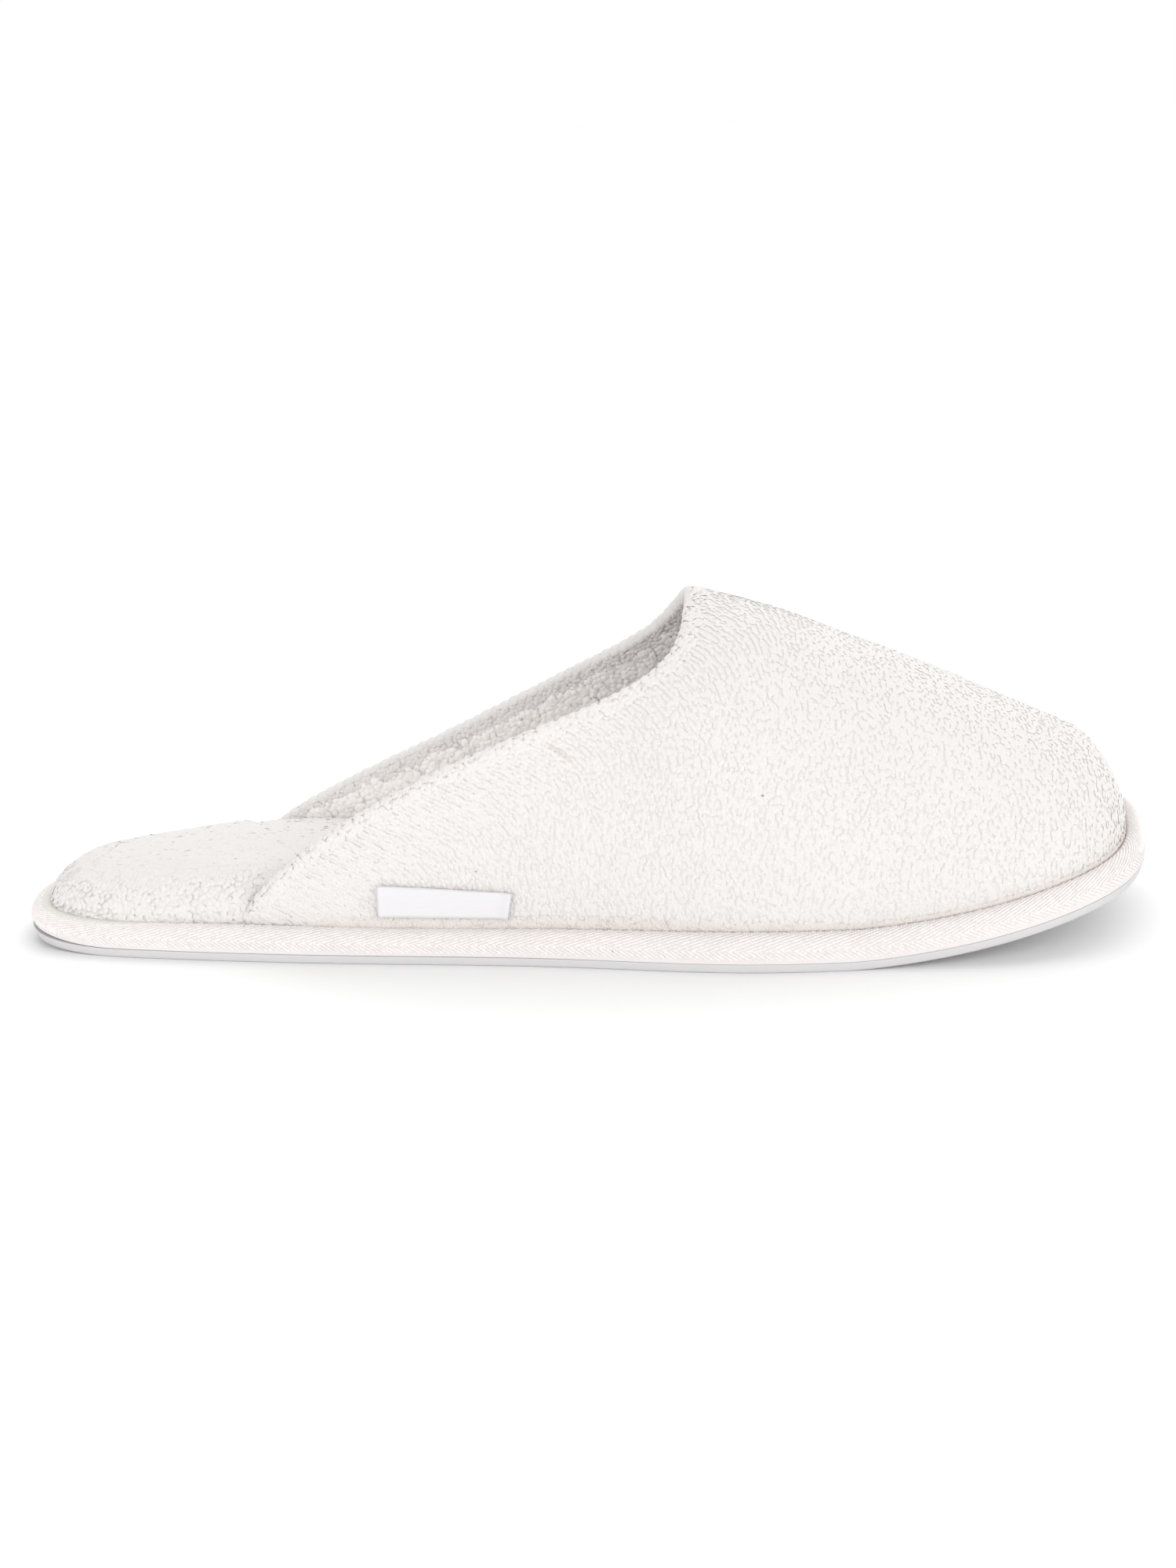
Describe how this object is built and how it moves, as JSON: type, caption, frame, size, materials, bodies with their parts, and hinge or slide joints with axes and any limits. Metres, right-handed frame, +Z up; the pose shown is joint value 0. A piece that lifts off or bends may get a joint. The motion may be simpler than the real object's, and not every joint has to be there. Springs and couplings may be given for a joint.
{
  "type": "scuff slipper",
  "caption": "Open-heeled house slipper: a hollow terry upper over the forefoot, a thick terry insole pad, a foam midsole with a folded tape binding, and a thin flat outsole.",
  "frame": {"origin": "centre of the bounding box's bottom, on the plane that the tread rests on", "axes": "+X towards the toe, +Y towards the wearer's inner (medial) side, +Z up out of the sole"},
  "size_m": [0.262, 0.098, 0.0767],
  "materials": {
    "outsole": "smooth matt white sheet",
    "foam": "matt closed-cell foam, off-white",
    "tape": "herringbone woven cotton tape, off-white",
    "terry": "short looped terry pile, warm off-white",
    "label": "smooth white satin woven tab, blank"
  },
  "bodies": {
    "root": {"outsole": "outsole", "midsole": "foam", "edge_binding": "tape", "insole": "terry", "upper": "terry", "label": "label"}
  },
  "joints": []
}
